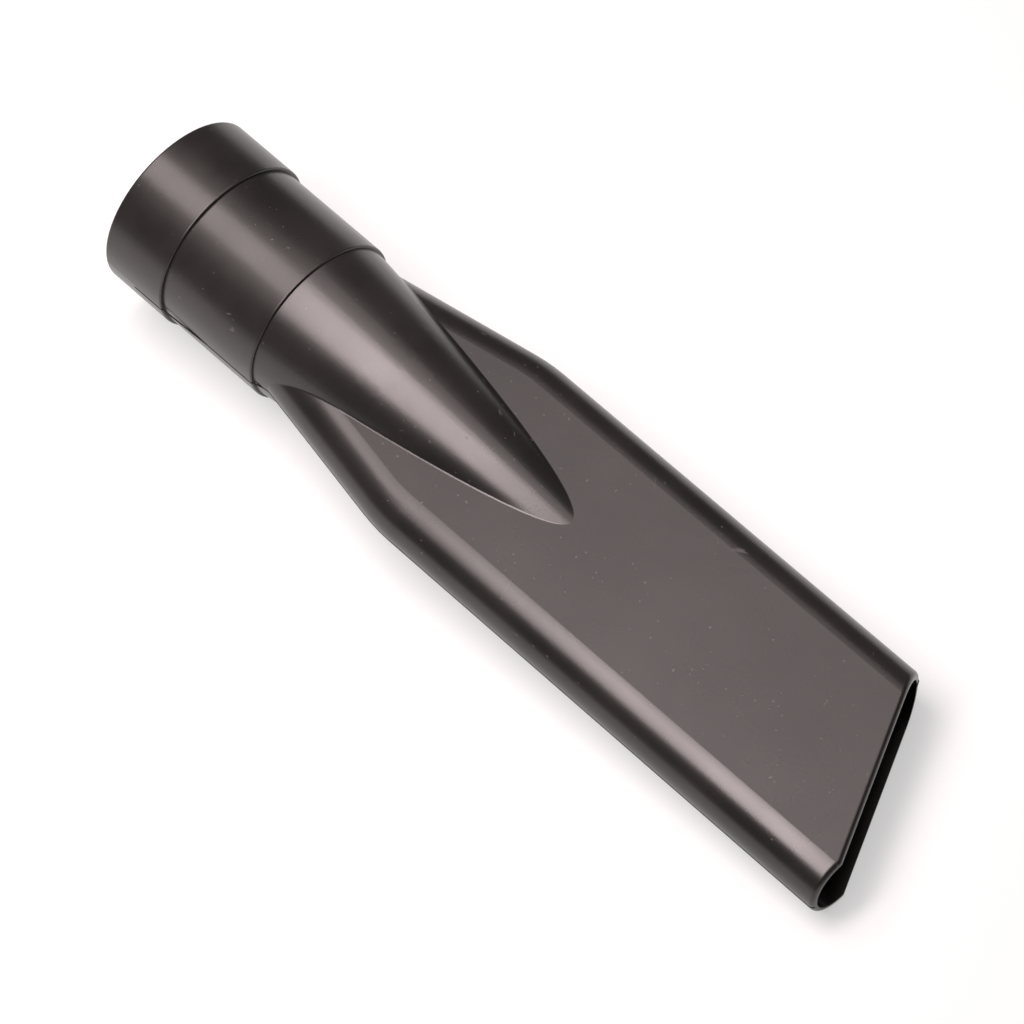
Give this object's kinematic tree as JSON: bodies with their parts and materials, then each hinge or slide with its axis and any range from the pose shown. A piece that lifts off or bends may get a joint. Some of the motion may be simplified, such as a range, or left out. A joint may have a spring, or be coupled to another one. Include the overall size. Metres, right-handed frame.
{
  "type": "vacuum crevice tool",
  "caption": "Flat hollow crevice tool for a vacuum, with a stepped round socket, a neck that runs out as a tongue on each face, and a wide round-edged blade with a slanted mouth.",
  "frame": {"origin": "centre of the round socket's mouth", "axes": "+X runs along the tool from the socket to the suction slot, +Z is square to the flat faces and to the parting plane, and the slot reaches furthest on the -Y side"},
  "size_m": [0.2213, 0.0535, 0.0424],
  "materials": {
    "body": "black polypropylene with a fine moulded grain and a satin sheen"
  },
  "bodies": {
    "root": {"crevice_tool": "body"}
  },
  "joints": []
}
